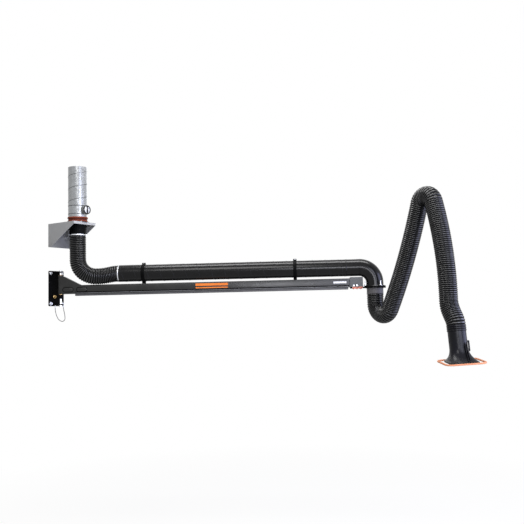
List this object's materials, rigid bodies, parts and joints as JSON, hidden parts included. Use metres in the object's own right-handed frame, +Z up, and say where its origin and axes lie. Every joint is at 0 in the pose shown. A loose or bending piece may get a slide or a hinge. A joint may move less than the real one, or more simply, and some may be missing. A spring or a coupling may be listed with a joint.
{
  "type": "fume extraction arm",
  "caption": "Wall-mounted fume extraction arm: a swinging boom carries a rigid duct to a swivelling, jointed hose arm with a tilting hood, fed from a riser with a damper.",
  "frame": {"origin": "middle of the wall plate's back face", "axes": "+X out of the wall, +Z up, +Y to the right when facing the wall"},
  "size_m": [4.2684, 1.9934, 2.1152],
  "materials": {
    "black_paint": "satin black powder coat",
    "grey_paint": "satin grey powder coat",
    "zinc": "bright zinc plate",
    "yellow_zinc": "yellow zinc plate",
    "bronze": "plain bearing bronze",
    "galvanised": "galvanised sheet",
    "alloy": "mill",
    "black_hose": "coated fabric over a wire helix",
    "black_duct": "gloss black",
    "grey_plastic": "matt",
    "black_plastic": "satin moulded",
    "orange_rubber": "matt orange",
    "lining": "friction lining"
  },
  "bodies": {
    "wall": {"wall_plate": "black_paint", "hinge_lug_upper": "black_paint", "hinge_lug_lower": "black_paint", "hinge_pin": "zinc", "brake_collar": "zinc", "lanyard_rope": "zinc", "lanyard_ferrule_1": "zinc", "lanyard_ferrule_2": "zinc", "console_deck": "grey_paint", "console_cheek_left": "grey_paint", "console_cheek_right": "grey_paint", "console_back": "grey_paint", "duct_spigot": "black_paint", "rubber_sleeve": "orange_rubber", "damper_housing": "galvanised", "riser_duct": "galvanised", "hose_inlet": "black_hose", "hose_clamp_console": "zinc"},
    "brake_screw": {"brake_screw": "yellow_zinc"},
    "riser_damper": {"damper_blade": "galvanised", "damper_handle": "black_plastic"},
    "boom": {"boom_beam": "black_paint", "boom_sleeve": "black_paint", "hinge_bush_upper": "bronze", "hinge_bush_lower": "bronze", "slot_rail": "black_paint", "boom_duct": "black_duct", "elbow_duct": "black_duct", "tube_clamp_1": "black_paint", "tube_clamp_2": "black_paint", "tube_clamp_screw_1": "zinc", "tube_clamp_screw_2": "zinc", "end_bracket": "grey_paint", "swivel_flange": "black_paint", "flange_stud_1": "zinc", "flange_stud_2": "zinc", "flange_stud_3": "zinc", "hose_clamp_duct": "zinc"},
    "arm_base": {"swivel_ring": "alloy", "hose_cuff": "grey_plastic", "arm_yoke": "alloy", "hose_shoulder": "black_hose", "shoulder_bolt": "zinc", "shoulder_lining": "lining"},
    "lower_arm": {"lower_strap": "alloy", "hose_lower": "black_hose", "hose_elbow": "black_hose", "elbow_lining": "lining"},
    "upper_arm": {"upper_fork": "alloy", "hose_upper": "black_hose", "hose_wrist": "black_hose", "elbow_bolt": "zinc", "wrist_bolt": "zinc"},
    "hood_mount": {"hood_collar": "black_plastic", "hood_tongue": "alloy", "wrist_lining": "lining"},
    "hood": {"hood_shell": "black_plastic", "hood_rim": "orange_rubber"},
    "hood_damper": {"hood_blade": "galvanised", "hood_lever": "black_plastic"}
  },
  "joints": [
    {"name": "boom_swing", "type": "hinge", "parent": "wall", "child": "boom", "pos_m": [0.08, 0, 0], "axis": [0, 0, 1], "range_deg": [-80, 45], "deforming": ["hose_inlet"]},
    {"name": "brake_screw_turn", "type": "hinge", "parent": "wall", "child": "brake_screw", "pos_m": [0.08, -0.062, -0.0906], "axis": [0, -1, 0], "range_deg": [-170, 170]},
    {"name": "riser_damper_turn", "type": "hinge", "parent": "wall", "child": "riser_damper", "pos_m": [0.3, 0.05, 0.8219], "axis": [1, 0, 0], "range_deg": [0, 90]},
    {"name": "arm_swivel", "type": "hinge", "parent": "boom", "child": "arm_base", "pos_m": [2.92944, 1.78053, -0.0747], "axis": [0, 0, 1], "range_deg": [-75, 190]},
    {"name": "shoulder", "type": "hinge", "parent": "arm_base", "child": "lower_arm", "pos_m": [3.01518, 1.73871, -0.35552], "axis": [0.4384, 0.8988, 0], "range_deg": [-12, 65], "deforming": ["hose_shoulder"]},
    {"name": "elbow", "type": "hinge", "parent": "lower_arm", "child": "upper_arm", "pos_m": [3.69645, 1.40643, 0.77398], "axis": [-0.4384, -0.8988, 0], "range_deg": [-8, 95], "deforming": ["hose_elbow"]},
    {"name": "hood_tilt", "type": "hinge", "parent": "upper_arm", "child": "hood_mount", "pos_m": [3.95971, 1.27803, -0.39071], "axis": [0.4384, 0.8988, 0], "range_deg": [-40, 45], "deforming": ["hose_wrist"]},
    {"name": "hood_turn", "type": "hinge", "parent": "hood_mount", "child": "hood", "pos_m": [4.00313, 1.25686, -0.52477], "axis": [-0.0939, 0.0458, 0.9945], "range_deg": [-170, 170]},
    {"name": "hood_damper_turn", "type": "hinge", "parent": "hood", "child": "hood_damper", "pos_m": [4.01187, 1.25259, -0.61726], "axis": [0.7296, 0.6829, 0.0375], "range_deg": [0, 90]}
  ]
}
